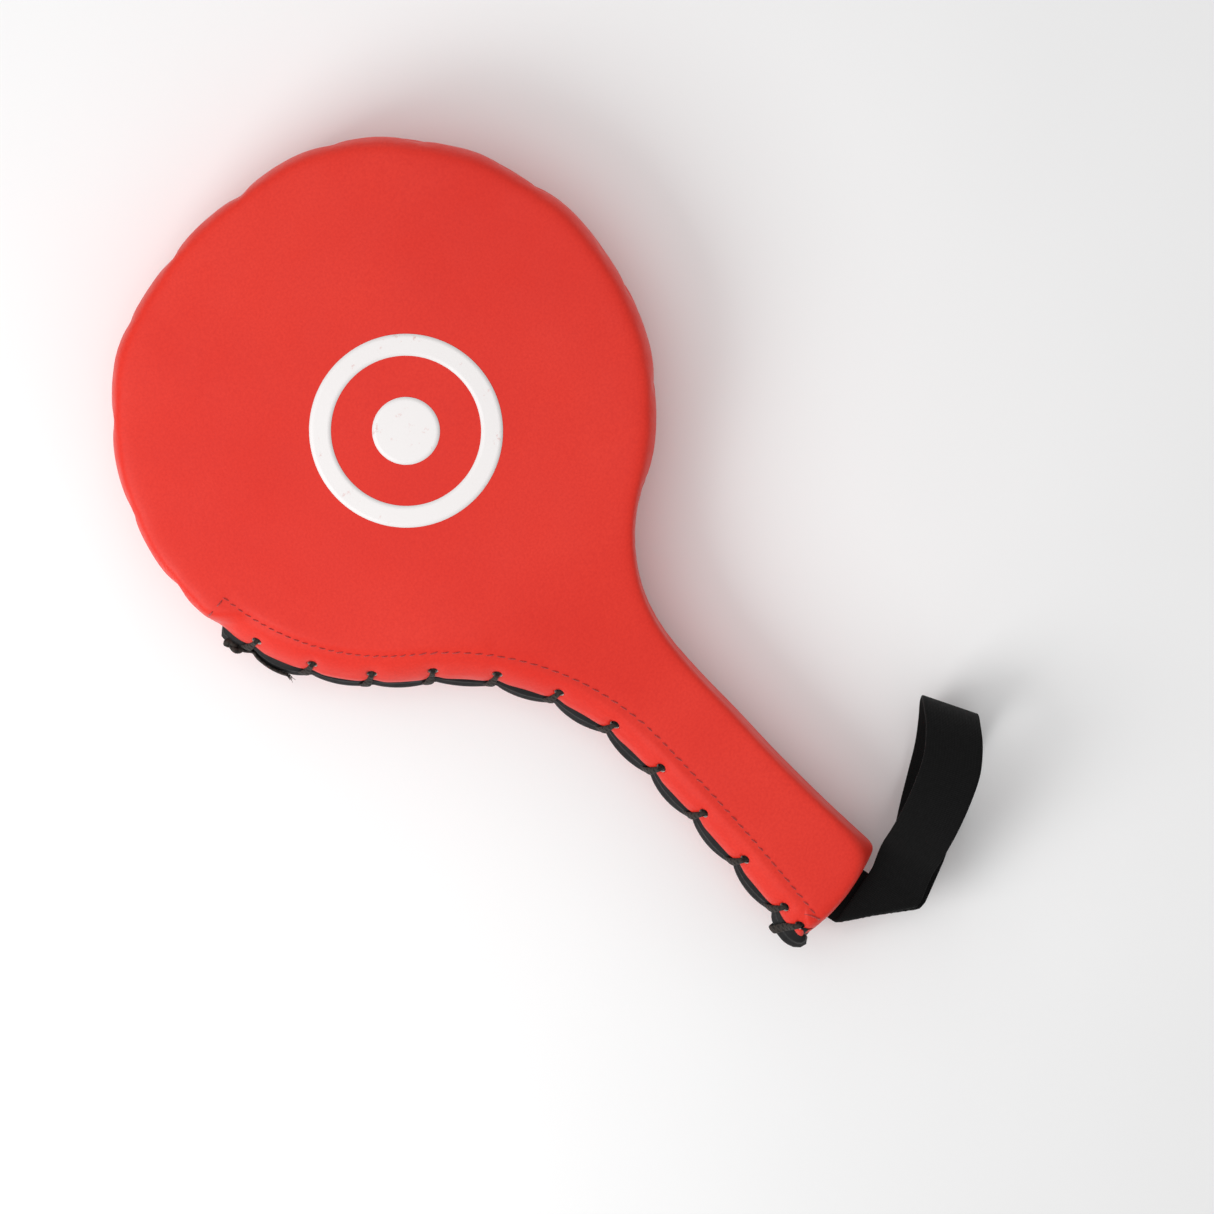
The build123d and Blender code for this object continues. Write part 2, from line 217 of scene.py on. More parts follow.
def half_thickness(y):
    share = smooth((NECK_SLOPE_START - y) / (NECK_SLOPE_START - NECK_SLOPE_END))
    return HEAD_HALF - (HEAD_HALF - HANDLE_HALF) * share


def hole_travels():
    even = [FIRST_HOLE + i * HOLE_PITCH for i in range(EVEN_HOLES)]
    return even + [even[-1] + LAST_HOLE_PITCH]


def near_holes(travel, width):
    """1 at each lace hole, falling off over a width."""
    total = np.zeros_like(travel)
    for hole in hole_travels():
        total += np.exp(-(((travel - hole) / width) ** 2))
    return np.minimum(total, 1.0)


def lacedness(travel):
    """1 along the laced opening, 0 where the seam is closed."""
    before = (travel + 60) % LENGTH - 60
    start = smooth((before + 8) / 19)
    end = smooth((OPENING_LENGTH + 4 - before) / 8)
    return start * end


def waves(travel, lengths, seed):
    """A steady mix of waves round the outline, with whole numbers of turns."""
    draw = random.Random(seed)
    total = np.zeros_like(travel)
    for length in lengths:
        turns = round(LENGTH / length)
        phase = draw.uniform(0, 2 * math.pi)
        total += np.sin(2 * math.pi * turns * travel / LENGTH + phase)
    return total / len(lengths)


# ---------------------------------------------------------------- meshes

def mesh_object(name, points, faces, uvs=None):
    """A smooth-shaded mesh from points in mm; uvs gives each point's (u, v) in metres."""
    mesh = bpy.data.meshes.new(name)
    mesh.from_pydata([tuple(float(c) * MM for c in p) for p in points], [], faces)
    mesh.validate()
    if uvs is not None:
        layer = mesh.uv_layers.new(name="UVMap")
        for loop in mesh.loops:
            layer.data[loop.index].uv = uvs[loop.vertex_index]
    mesh.shade_smooth()
    piece = bpy.data.objects.new(name, mesh)
    bpy.context.scene.collection.objects.link(piece)
    return piece


def grid_faces(rows, columns, closed):
    """Quads over points listed row by row; closed joins each row's end to its start."""
    faces = []
    for r in range(rows - 1):
        for c in range(columns if closed else columns - 1):
            d = (c + 1) % columns
            here, beyond = r * columns, (r + 1) * columns
            faces.append((here + c, here + d, beyond + d, beyond + c))
    return faces


def applied(piece):
    """Bakes the piece's modifiers into its mesh."""
    graph = bpy.context.evaluated_depsgraph_get()
    mesh = bpy.data.meshes.new_from_object(piece.evaluated_get(graph))
    piece.modifiers.clear()
    old = piece.data
    piece.data = mesh
    bpy.data.meshes.remove(old)


def modified(piece, kind, **values):
    modifier = piece.modifiers.new(kind.lower(), kind)
    for key, value in values.items():
        setattr(modifier, key, value)
    applied(piece)


def coordinates(piece):
    co = np.zeros(len(piece.data.vertices) * 3)
    piece.data.vertices.foreach_get("co", co)
    return co.reshape(-1, 3) / MM


def set_coordinates(piece, points):
    piece.data.vertices.foreach_set("co", (np.asarray(points) * MM).ravel())
    piece.data.update()


# ---------------------------------------------------------------- materials

class Look:
    """A procedural material on one Principled shader."""

    def __init__(self, name, source="Object", **sockets):
        self.material = bpy.data.materials.new(name)
        self.material.use_nodes = True
        self.nodes = self.material.node_tree.nodes
        self.links = self.material.node_tree.links
        self.shader = self.nodes["Principled BSDF"]
        for key, value in sockets.items():
            self.shader.inputs[key.replace("_", " ")].default_value = value
        self.place = self.nodes.new("ShaderNodeTexCoord").outputs[source]
        self.heights = []

    def node(self, kind, inputs=None, **settings):
        made = self.nodes.new(kind)
        for key, value in settings.items():
            setattr(made, key, value)
        for key, value in (inputs or {}).items():
            if isinstance(value, bpy.types.NodeSocket):
                self.links.new(value, made.inputs[key])
            else:
                made.inputs[key].default_value = value
        return made

    def stretched(self, scale):
        return self.node("ShaderNodeMapping", {"Vector": self.place, "Scale": scale}).outputs[0]

    def noise(self, scale, detail=3.0, roughness=0.5):
        inputs = {"Vector": self.place, "Scale": scale, "Detail": detail, "Roughness": roughness}
        return self.node("ShaderNodeTexNoise", inputs).outputs["Fac"]

    def cells(self, scale, feature="F1"):
        inputs = {"Vector": self.place, "Scale": scale}
        return self.node("ShaderNodeTexVoronoi", inputs, feature=feature).outputs["Distance"]

    def stripes(self, scale, direction, distortion=0.0, place=None):
        inputs = {"Vector": place or self.place, "Scale": scale, "Distortion": distortion}
        return self.node(
            "ShaderNodeTexWave", inputs, bands_direction=direction, wave_profile="SIN"
        ).outputs["Fac"]

    def math(self, operation, a, b):
        return self.node("ShaderNodeMath", {0: a, 1: b}, operation=operation).outputs[0]

    def spread(self, value, low, high, to_low=0.0, to_high=1.0):
        inputs = {"Value": value, "From Min": low, "From Max": high}
        inputs |= {"To Min": to_low, "To Max": to_high}
        return self.node("ShaderNodeMapRange", inputs).outputs[0]

    def mix(self, factor, a, b):
        made = self.node("ShaderNodeMix", data_type="RGBA")
        for socket, value in ((made.inputs[0], factor), (made.inputs[6], a), (made.inputs[7], b)):
            if isinstance(value, bpy.types.NodeSocket):
                self.links.new(value, socket)
            else:
                socket.default_value = value if isinstance(value, float) else (*value, 1.0)
        return made.outputs[2]

    def colour(self, value):
        self.links.new(value, self.shader.inputs["Base Color"])

    def rough(self, value):
        self.links.new(value, self.shader.inputs["Roughness"])

    def bump(self, height, distance, strength=1.0):
        """Adds a height; the distance is how deep it is in metres."""
        inputs = {"Height": height, "Distance": distance, "Strength": strength}
        if self.heights:
            inputs["Normal"] = self.heights[-1]
        self.heights.append(self.node("ShaderNodeBump", inputs).outputs[0])
        self.links.new(self.heights[-1], self.shader.inputs["Normal"])


def srgb(r, g, b):
    """A colour given as 0 to 255 on screen, made linear."""
    shares = (r / 255, g / 255, b / 255)
    return tuple(((c + 0.055) / 1.055) ** 2.4 if c > 10 / 255 else c / 12.92 for c in shares)


def wave_scale(period):
    """The wave texture's scale for a period in metres."""
    return 2 * math.pi / (20 * period)


def red_leather():
    """Smooth synthetic leather: a fine pebble and faint creases."""
    look = Look("red_leather", Sheen_Weight=0.02, Sheen_Roughness=0.4, Specular_IOR_Level=0.25)
    cloud = look.noise(14.0, 4.0)
    speck = look.noise(900.0, 2.0)
    base = look.mix(look.spread(cloud, 0.3, 0.7), srgb(220, 44, 31), srgb(228, 53, 38))
    look.colour(look.mix(look.spread(speck, 0.35, 0.7, 0.0, 0.35), base, srgb(204, 33, 25)))
    look.rough(look.spread(look.noise(60.0, 5.0), 0.25, 0.75, 0.40, 0.54))
    pebble = look.cells(1100.0, "SMOOTH_F1")
    crease = look.cells(95.0, "DISTANCE_TO_EDGE")
    look.bump(look.spread(crease, 0.0, 0.08), 0.00004, 0.25)
    look.bump(pebble, 0.00009, 0.5)
    look.bump(look.noise(2600.0, 2.0), 0.00004, 0.4)
    return look.material


def black_leather():
    look = Look("black_leather", Sheen_Weight=0.02, Specular_IOR_Level=0.22)
    cloud = look.noise(60.0, 4.0)
    look.colour(look.mix(look.spread(cloud, 0.3, 0.7), srgb(11, 11, 12), srgb(26, 25, 26)))
    look.rough(look.spread(look.noise(300.0, 4.0), 0.3, 0.7, 0.46, 0.62))
    look.bump(look.cells(1400.0, "SMOOTH_F1"), 0.00008, 0.6)
    look.bump(look.noise(420.0, 3.0), 0.00012, 0.4)
    return look.material


def white_print():
    look = Look("white_print")
    worn = look.noise(240.0, 5.0, 0.7)
    look.colour(look.mix(look.spread(worn, 0.62, 0.72), srgb(238, 234, 233), srgb(226, 196, 192)))
    look.rough(look.spread(look.noise(90.0, 3.0), 0.3, 0.7, 0.42, 0.55))
    look.bump(look.cells(1100.0, "SMOOTH_F1"), 0.00005, 0.35)
    return look.material


def twisted_thread(name, dark, light):
    look = Look(name, Sheen_Weight=0.3)
    strand = look.stripes(1500.0, "DIAGONAL", 1.0)
    # Painted shade: the colour is darker where the twist's bump sinks, in the grooves between the plies.
    look.colour(look.mix(strand, dark, light))
    look.rough(look.spread(look.noise(1500.0), 0.3, 0.7, 0.6, 0.8))
    look.bump(strand, 0.00012, 0.7)
    return look.material


def elastic_band():
    """Knitted elastic: fine ribs across, rubber cords along, and a little lint."""
    look = Look("elastic_band", source="UV", Sheen_Weight=0.02, Specular_IOR_Level=0.15)
    across = look.stripes(wave_scale(0.0008), "X", 0.3)
    along = look.stripes(wave_scale(0.0013), "Y", 0.2)
    weave = look.math("MULTIPLY", across, look.spread(along, 0.0, 1.0, 0.45, 1.0))
    lint = look.noise(500.0, 5.0, 0.7)
    # Painted shade: darker where the ribs' and cords' bump is low, in the grooves between them.
    base = look.mix(weave, srgb(6, 6, 6), srgb(17, 17, 17))
    look.colour(look.mix(look.spread(lint, 0.6, 0.85, 0.0, 0.25), base, srgb(36, 36, 36)))
    look.rough(look.spread(lint, 0.3, 0.7, 0.75, 0.92))
    look.bump(along, 0.00012, 0.5)
    look.bump(across, 0.00014, 0.7)
    return look.material


def braided_lace():
    look = Look("braided_lace", source="UV", Sheen_Weight=0.05, Specular_IOR_Level=0.2)
    one = look.stripes(wave_scale(0.0014), "DIAGONAL", 0.4)
    mirrored = look.stretched((1.0, -1.0, 1.0))
    two = look.stripes(wave_scale(0.0014), "DIAGONAL", 0.4, place=mirrored)
    braid = look.math("MAXIMUM", one, two)
    fuzz = look.noise(900.0, 4.0, 0.7)
    # Painted shade: darker between the braid's strands, where its bump is low.
    base = look.mix(braid, srgb(22, 20, 18), srgb(52, 46, 42))
    look.colour(look.mix(look.spread(fuzz, 0.55, 0.8, 0.0, 0.3), base, srgb(74, 67, 60)))
    look.rough(look.spread(fuzz, 0.3, 0.7, 0.7, 0.92))
    look.bump(braid, 0.0003, 0.9)
    look.bump(fuzz, 0.0001, 0.5)
    return look.material


def knit_lining(name, dark, light):
    look = Look(name, Sheen_Weight=0.3)
    weave = look.math("MULTIPLY", look.stripes(300.0, "X"), look.stripes(300.0, "Y"))
    # Painted shade: darker between the knit's loops, where its bump is low.
    look.colour(look.mix(weave, dark, light))
    look.rough(look.spread(look.noise(400.0), 0.3, 0.7, 0.75, 0.95))
    look.bump(weave, 0.0002, 0.7)
    return look.material


def foam(name, dark, light, cell):
    look = Look(name)
    pores = look.cells(1 / cell)
    # Painted shade: darker in the pores, where the bump sinks.
    look.colour(look.mix(look.spread(pores, 0.1, 0.7), dark, light))
    look.rough(look.spread(pores, 0.0, 1.0, 0.95, 0.8))
    look.bump(pores, 0.0005, 0.9)
    return look.material


def plywood():
    look = Look("plywood")
    grain = look.stripes(90.0, "X", 6.0, place=look.stretched((1.0, 0.12, 1.0)))
    look.colour(look.mix(grain, srgb(178, 138, 92), srgb(214, 180, 132)))
    look.rough(look.spread(grain, 0.0, 1.0, 0.55, 0.75))
    look.bump(grain, 0.0002, 0.5)
    return look.material


def floor_paper():
    look = Look("floor_paper")
    cloud = look.noise(3.0, 3.0)
    look.colour(look.mix(look.spread(cloud, 0.3, 0.7), srgb(246, 246, 246), srgb(250, 250, 250)))
    look.rough(look.spread(look.noise(200.0), 0.3, 0.7, 0.8, 0.9))
    look.bump(look.noise(700.0, 4.0), 0.0001, 0.2)
    return look.material


RED = red_leather()
BLACK = black_leather()
PRINT = white_print()
RED_THREAD = twisted_thread("red_thread", srgb(150, 18, 15), srgb(205, 38, 30))
BLACK_THREAD = twisted_thread("black_thread", srgb(14, 14, 14), srgb(46, 46, 46))
ELASTIC = elastic_band()
LACE = braided_lace()
BACKING = knit_lining("pale_backing", srgb(196, 188, 180), srgb(232, 226, 220))
LINING = knit_lining("dark_lining", srgb(60, 16, 15), srgb(104, 30, 27))
SOFT_FOAM = foam("soft_foam", srgb(206, 190, 150), srgb(238, 226, 192), 0.0012)
DENSE_FOAM = foam("dense_foam", srgb(74, 76, 80), srgb(112, 114, 118), 0.0008)
PLYWOOD = plywood()


def wear(piece, *materials):
    piece.data.materials.clear()
    for material in materials:
        piece.data.materials.append(material)


# ---------------------------------------------------------------- camera, light, floor

VIEW_CENTRE = Vector((0.0116, -0.1227, 0.036))
VIEW_WIDTH = 0.506
VIEW_TURN = math.radians(-43.3)
VIEW_TILT = math.radians(5.0)
CAMERA_DISTANCE = 1.8
SENSOR = 36.0


def area_light(name, place, size, power):
    data = bpy.data.lights.new(name, "AREA")
    data.energy = power
    data.size = size
    light = bpy.data.objects.new(name, data)
    light.location = place
    light.rotation_euler = (VIEW_CENTRE - Vector(place)).to_track_quat("-Z", "Y").to_euler()
    bpy.context.scene.collection.objects.link(light)


def stage():
    scene = bpy.context.scene
    data = bpy.data.cameras.new("camera")
    data.sensor_width = SENSOR
    data.lens = SENSOR * CAMERA_DISTANCE / VIEW_WIDTH
    camera = bpy.data.objects.new("camera", data)
    picture_up = Vector((-math.sin(VIEW_TURN), math.cos(VIEW_TURN), 0))
    back = Vector((0, 0, 1)) * math.cos(VIEW_TILT) + picture_up * math.sin(VIEW_TILT)
    camera.location = VIEW_CENTRE + back * CAMERA_DISTANCE
    right = Vector((math.cos(VIEW_TURN), math.sin(VIEW_TURN), 0))
    up = back.cross(right)
    turn = np.array([right, up, back]).T
    camera.rotation_mode = "QUATERNION"
    camera.rotation_quaternion = Matrix(turn.tolist()).to_quaternion()
    data.clip_start = 0.05
    data.clip_end = 20
    scene.collection.objects.link(camera)
    scene.camera = camera

    area_light("key", (-0.66, 0.04, 0.6), 0.5, 4.1)
    area_light("top", (-0.2, 0.25, 1.8), 1.6, 7.5)
    area_light("rim", (0.9, 1.0, 0.5), 0.6, 1.6)
    world = bpy.data.worlds.new("studio")
    world.use_nodes = True
    world.node_tree.nodes["Background"].inputs["Color"].default_value = (1, 1, 1, 1)
    world.node_tree.nodes["Background"].inputs["Strength"].default_value = 0.52
    scene.world = world
    scene.view_settings.view_transform = "Standard"

    bpy.ops.mesh.primitive_plane_add(size=8, location=(0, 0, -0.0005))
    floor = bpy.context.object
    floor.name = "floor"
    floor.data.materials.append(floor_paper())


stage()


# ---------------------------------------------------------------- covers

# Row by row from the seam to the face: inset, share of the half thickness, freedom to puff
SEAM_ROWS = [
    (3.2, 0.01, 0.0),
    (1.4, 0.02, 0.0),
    (0.4, 0.07, 0.3),
    (0.0, 0.17, 0.75),
    (0.1, 0.33, 1.0),
    (0.3, 0.50, 1.0),
    (0.6, 0.68, 0.9),
    (1.1, 0.83, 0.7),
    (2.1, 0.94, 0.45),
    (4.0, 0.99, 0.2),
    (9.0, 1.0, 0.0),
]
ROLL_POWER = 1.25


def laced_row(index, half):
    """(inset, height) of a row over the laced side's gradual roll."""
    turn = math.radians(90 * index / (len(SEAM_ROWS) - 1))
    reach = 10.5 + (half - HANDLE_HALF) * 0.75
    inset = reach * (1 - math.cos(turn) ** ROLL_POWER)
    height = EDGE_UP + (half - EDGE_UP) * math.sin(turn) ** ROLL_POWER
    return inset, height


def cover_rows(side):
    """The side wall and rim as rings of points."""
    laced = lacedness(TRAVEL)
    half = half_thickness(LINE[:, 1])
    on_head = smooth((LINE[:, 1] + 112) / 40)
    gather = waves(TRAVEL, (47, 39, 61), 5) * (0.25 + 0.85 * on_head)
    tuck = waves(TRAVEL, (19.0, 23.5, 29.0), 8 + side) * 0.22 * on_head
    notch = near_holes(TRAVEL, 2.6)
    rows = []
    for index, (inset, share, puff) in enumerate(SEAM_ROWS):
        roll, height = np.array([laced_row(index, h) for h in half]).T
        closeness = 1 - index / (len(SEAM_ROWS) - 1)
        pucker = (gather + tuck * puff) * closeness**0.6
        rounder = 1.5 * (1 - on_head) * math.sin(math.pi * index / (len(SEAM_ROWS) - 1))
        wall = inset + rounder + pucker * (1 - laced)
        edge = roll + notch * 1.1 * max(0.0, 1 - index / 2.5) - 0.5
        depth = (1 - laced) * wall + laced * edge
        line = ring(depth)
        half_here = half_thickness(line[:, 1])
        up = (1 - laced) * share * half_here + laced * np.minimum(height, half_here)
        places = np.arange(SPACING_COUNT) / SPACING_COUNT * LENGTH
        spot = at_travel(line, places)
        rows.append(np.column_stack([spot, MID + side * at_travel(up, places)]))
    return rows


def inside(points, polygon):
    """Which points lie in a closed polygon."""
    x, y = points[:, 0], points[:, 1]
    result = np.zeros(len(points), bool)
    for (x1, y1), (x2, y2) in zip(polygon, np.roll(polygon, -1, axis=0)):
        crosses = (y1 > y) != (y2 > y)
        with np.errstate(divide="ignore", invalid="ignore"):
            result ^= crosses & (x < (x2 - x1) * (y - y1) / (y2 - y1) + x1)
    return result


def face_points(rim):
    """A staggered lattice inside the rim, clear of it."""
    low, high = rim.min(0), rim.max(0)
    points = []
    y = low[1]
    stagger = False
    while y < high[1]:
        x = low[0] + (LATTICE / 2 if stagger else 0)
        while x < high[0]:
            points.append((x, y))
            x += LATTICE
        y += LATTICE * math.sqrt(3) / 2
        stagger = not stagger
    points = np.array(points)
    points = points[inside(points, rim)]
    gaps = np.linalg.norm(points[:, None, :] - rim[None, :, :], axis=2).min(1)
    return points[gaps > LATTICE * 0.45]


def cover_mesh(name, side):
    """Wall, rim and face of one cover, as a single sheet."""
    rows = cover_rows(side)
    count = SPACING_COUNT
    points = [tuple(p) for row in rows for p in row]
    faces = grid_faces(len(rows), count, True)
    rim = rows[-1][:, :2]
    inner = face_points(rim)
    flat = [Vector(p) for p in rim] + [Vector(p) for p in inner]
    loop = [(i, (i + 1) % count) for i in range(count)]
    made, _, triangles, origins, _, _ = delaunay_2d_cdt(flat, loop, [], 1, 1e-5)
    first = (len(rows) - 1) * count
    index = []
    for spot, origin in zip(made, origins):
        if origin and origin[0] < count:
            index.append(first + origin[0])
            continue
        index.append(len(points))
        points.append((spot.x, spot.y, MID + side * half_thickness(spot.y)))
    faces += [tuple(index[i] for i in t) for t in triangles]
    if side < 0:
        faces = [tuple(reversed(f)) for f in faces]
    piece = mesh_object(name, points, faces)
    fix_normals(piece, side)
    return piece


def turned(piece, rightness):
    """Makes a sheet's faces agree, and flips them where rightness says less than 0."""
    made = bmesh.new()
    made.from_mesh(piece.data)
    bmesh.ops.recalc_face_normals(made, faces=made.faces)
    if rightness(made.faces) < 0:
        bmesh.ops.reverse_faces(made, faces=made.faces)
    made.to_mesh(piece.data)
    made.free()


def fix_normals(piece, side):
    """Turns a cover's or the print's faces outwards, judged by its highest middle face."""

    def height(face):
        middle = face.calc_center_median()
        return side * middle.z - abs(middle.x)

    turned(piece, lambda faces: max(faces, key=height).normal.z * side)


def normals_towards(piece, direction):
    """Turns an open sheet's faces so that most of their area faces a direction."""
    way = Vector(direction)
    turned(piece, lambda faces: sum(f.normal.dot(way) * f.calc_area() for f in faces))


def normals_of(piece):
    normals = np.zeros(len(piece.data.vertices) * 3)
    piece.data.vertices.foreach_get("normal", normals)
    return normals.reshape(-1, 3)


SIM_FRAMES = 20
PUFF_CAP = 2.6
STRETCH = 0.012  # share by which the cloth grows before it puffs


def inflate(piece):
    """Puffs the free part of the wall between the seam and the face with a cloth simulation."""
    count = SPACING_COUNT
    laced = at_travel(lacedness(TRAVEL), np.arange(count) / count * LENGTH)
    group = piece.vertex_groups.new(name="held")
    start = coordinates(piece)
    for index in range(len(start)):
        row, column = divmod(index, count)
        free = 0.0
        if row < len(SEAM_ROWS):
            calm = 0.75 * max(laced[column], float(smooth((-80 - start[index][1]) / 40)))
            free = SEAM_ROWS[row][2] * (1 - calm)
        group.add([index], 1 - free, "REPLACE")
    cloth = piece.modifiers.new("cloth", "CLOTH")
    settings = cloth.settings
    settings.quality = 6
    settings.mass = 0.3
    settings.tension_stiffness = 12
    settings.compression_stiffness = 12
    settings.shear_stiffness = 5
    settings.bending_stiffness = 3
    settings.use_pressure = True
    settings.uniform_pressure_force = 4
    settings.vertex_group_mass = "held"
    settings.shrink_min = -STRETCH
    settings.shrink_max = -STRETCH
    settings.effector_weights.gravity = 0
    cloth.collision_settings.use_collision = False
    cloth.collision_settings.use_self_collision = False
    cloth.point_cache.frame_end = SIM_FRAMES
    scene = bpy.context.scene
    for number in range(1, SIM_FRAMES + 1):
        scene.frame_set(number)
    applied(piece)
    moved = coordinates(piece) - start
    reach = np.linalg.norm(moved, axis=1)
    print(f"{piece.name} puffed by up to {reach.max():.1f} mm")
    scale = np.minimum(1, PUFF_CAP / np.maximum(reach, 1e-6))
    set_coordinates(piece, start + moved * scale[:, None])
    scene.frame_set(1)


def surface_of(piece):
    return BVHTree.FromPolygons(
        [v.co / MM for v in piece.data.vertices], [p.vertices for p in piece.data.polygons]
    )


def dropped(surface, spot, side):
    """Where a line down onto the front, or up onto the back, meets the cover: point, normal."""
    start = Vector((spot[0], spot[1], MID + side * 100))
    hit, normal, _, _ = surface.ray_cast(start, Vector((0, 0, -side)))
    if hit is None:
        hit, normal, _, _ = surface.find_nearest(Vector((spot[0], spot[1], MID + side * 12)))
    return hit, normal


def inset_spot(travel, inset):
    """A point inwards from the outline, in plan."""
    return at_travel(EDGE, travel) - at_travel(EDGE_OUT, travel) * inset


def press_details(piece, side):
    """Sinks the stitch line and the lace's pull into the cover, and leaves the face uneven."""
    points = coordinates(piece)
    normals = normals_of(piece)
    travels = np.linspace(STITCH_START, OPENING_LENGTH, 600)
    stitched = inset_spot(travels, STITCH_INSET)
    sink = np.zeros(len(points))
    for start in range(0, len(points), 4000):
        some = points[start : start + 4000, :2]
        away = np.linalg.norm(some[:, None, :] - stitched[None, :, :], axis=2).min(1)
        sink[start : start + 4000] += 0.45 * np.exp(-((away / 1.5) ** 2))
    for hole in hole_travels():
        away = np.linalg.norm(points[:, :2] - inset_spot(hole, HOLE_INSET - 1), axis=1)
        sink += 0.9 * np.exp(-((away / 3.4) ** 2))
    x, y = points[:, 0], points[:, 1]
    uneven = 0.22 * np.sin(x / 19 + 0.7) * np.sin(y / 23 + 1.9 * side)
    uneven += 0.12 * np.sin(x / 9.5 + y / 13 + side)
    points -= normals * (sink - uneven * (np.abs(points[:, 2] - MID) > HANDLE_HALF - 4))[:, None]
    set_coordinates(piece, points)


def punch_holes(piece, surface, side):
    """Cuts the lace holes square to the surface; their walls show the pale backing."""
    made = bmesh.new()
    for hole in hole_travels():
        spot, normal = dropped(surface, inset_spot(hole, HOLE_INSET), side)
        turn = normal.to_track_quat("Z", "Y").to_matrix().to_4x4()
        turn.translation = spot * MM
        bmesh.ops.create_cone(
            made, cap_ends=True, segments=20, radius1=HOLE_RADIUS * MM,
            radius2=HOLE_RADIUS * MM, depth=0.008, matrix=turn,
        )
    mesh = bpy.data.meshes.new("punches")
    made.to_mesh(mesh)
    made.free()
    cutter = bpy.data.objects.new("punches", mesh)
    bpy.context.scene.collection.objects.link(cutter)
    mesh.materials.append(BACKING)
    before = len(piece.data.polygons)
    modified(piece, "BOOLEAN", operation="DIFFERENCE", solver="MANIFOLD", object=cutter,
             material_mode="TRANSFER")
    print(f"{piece.name}: {before} faces, {len(piece.data.polygons)} with its holes")
    bpy.data.objects.remove(cutter)


def copy_below(source, name, depth, keep=None):
    """A copy of a sheet, moved inwards by a depth; keep picks its faces by their centres."""
    mesh = source.data.copy()
    mesh.name = name
    piece = bpy.data.objects.new(name, mesh)
    bpy.context.scene.collection.objects.link(piece)
    set_coordinates(piece, coordinates(piece) - normals_of(piece) * depth)
    if keep is not None:
        made = bmesh.new()
        made.from_mesh(mesh)
        centres = np.array([f.calc_center_median()[:] for f in made.faces]) / MM
        kept = keep(centres)
        bmesh.ops.delete(made, geom=[f for f, k in zip(made.faces, kept) if not k], context="FACES")
        made.to_mesh(mesh)
        made.free()
    return piece


def in_hem(centres):
    """Which points lie between the laced edge and the stitch line, in plan."""
    travels = np.linspace(2, OPENING_LENGTH - 4, 300)
    edge = at_travel(EDGE, travels)
    gaps = np.linalg.norm(centres[:, None, :2] - edge[None, :, :], axis=2).min(1)
    return gaps < STITCH_INSET + 1.5


def facing(source, name, node):
    """The turned-in strip under the cover's laced edge."""
    piece = copy_below(source, name, COVER + 0.15, in_hem)
    modified(piece, "SOLIDIFY", thickness=FACING * MM, offset=-1.0)
    wear(piece, LINING)
    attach(piece, "paddle")
    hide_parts(node)


def padding(source, name, side, node):
    """The soft foam: the space under the cover, down to the firmer layer."""
    piece = copy_below(source, name, COVER + FACING + 0.3)
    made = bmesh.new()
    made.from_mesh(piece.data)
    level = (0, 0, (MID + side * SOFT_FOAM_UP) * MM)
    geometry = [*made.verts, *made.edges, *made.faces]
    bmesh.ops.bisect_plane(made, geom=geometry, plane_co=level, plane_no=(0, 0, side), clear_inner=True)
    bmesh.ops.holes_fill(made, edges=[e for e in made.edges if e.is_boundary], sides=0)
    bmesh.ops.recalc_face_normals(made, faces=made.faces)
    made.to_mesh(piece.data)
    made.free()
    wear(piece, SOFT_FOAM)
    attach(piece, "paddle")
    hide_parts(node)


def cover(name, side, *nodes):
    piece = cover_mesh(name, side)
    inflate(piece)
    modified(piece, "SUBSURF", levels=1)
    piece.data.shade_smooth()
    press_details(piece, side)
    surface = surface_of(piece)
    face = "front" if side > 0 else "back"
    facing(piece, f"{face}_hem_lining", f"{face}_hem_facing")
    padding(piece, f"{face}_padding", side, f"{face}_soft_foam")
    modified(piece, "SOLIDIFY", thickness=COVER * MM, offset=-1.0, use_even_offset=True)
    modified(piece, "BEVEL", width=0.45 * MM, segments=2, limit_method="ANGLE",
             angle_limit=math.radians(55))
    wear(piece, RED)
    punch_holes(piece, surface, side)
    piece.data.shade_smooth()
    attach(piece, "paddle")
    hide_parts(*nodes)
    return surface


front = cover("front_cover_skin", 1, "front_cover")
back = cover("back_cover_skin", -1, "back_cover")


# ---------------------------------------------------------------- print

RING = (40.0, 31.0)
DOT = 14.0
PRINT_CENTRE = (2.0, -12.0)
PRINT_PROUD = 0.12
AROUND = 160  # points round each circle
DOT_RINGS = 8


def print_mark():
    """A ring and a dot that follow the front face."""
    points, faces = [], []

    def disc(radii):
        first = len(points)
        for radius in radii:
            for i in range(AROUND):
                turn = 2 * math.pi * i / AROUND
                x = PRINT_CENTRE[0] + radius * math.cos(turn)
                y = PRINT_CENTRE[1] + radius * math.sin(turn)
                hit, normal = dropped(front, (x, y), 1)
                points.append(hit + normal * PRINT_PROUD)
        faces.extend(tuple(first + i for i in f) for f in grid_faces(len(radii), AROUND, True))
        return first

    disc(np.linspace(RING[0], RING[1], 6))
    first = disc(np.linspace(DOT, 1.0, DOT_RINGS))
    centre, normal = dropped(front, PRINT_CENTRE, 1)
    points.append(centre + normal * PRINT_PROUD)
    last = first + (DOT_RINGS - 1) * AROUND
    faces.extend((last + i, last + (i + 1) % AROUND, len(points) - 1) for i in range(AROUND))
    piece = mesh_object("ring_and_dot_print", points, faces)
    fix_normals(piece, 1)
    modified(piece, "SOLIDIFY", thickness=PRINT_PROUD * MM, offset=-1.0)
    wear(piece, PRINT)
    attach(piece, "paddle")
    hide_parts("front_print")


print_mark()


# ---------------------------------------------------------------- swept cords and threads

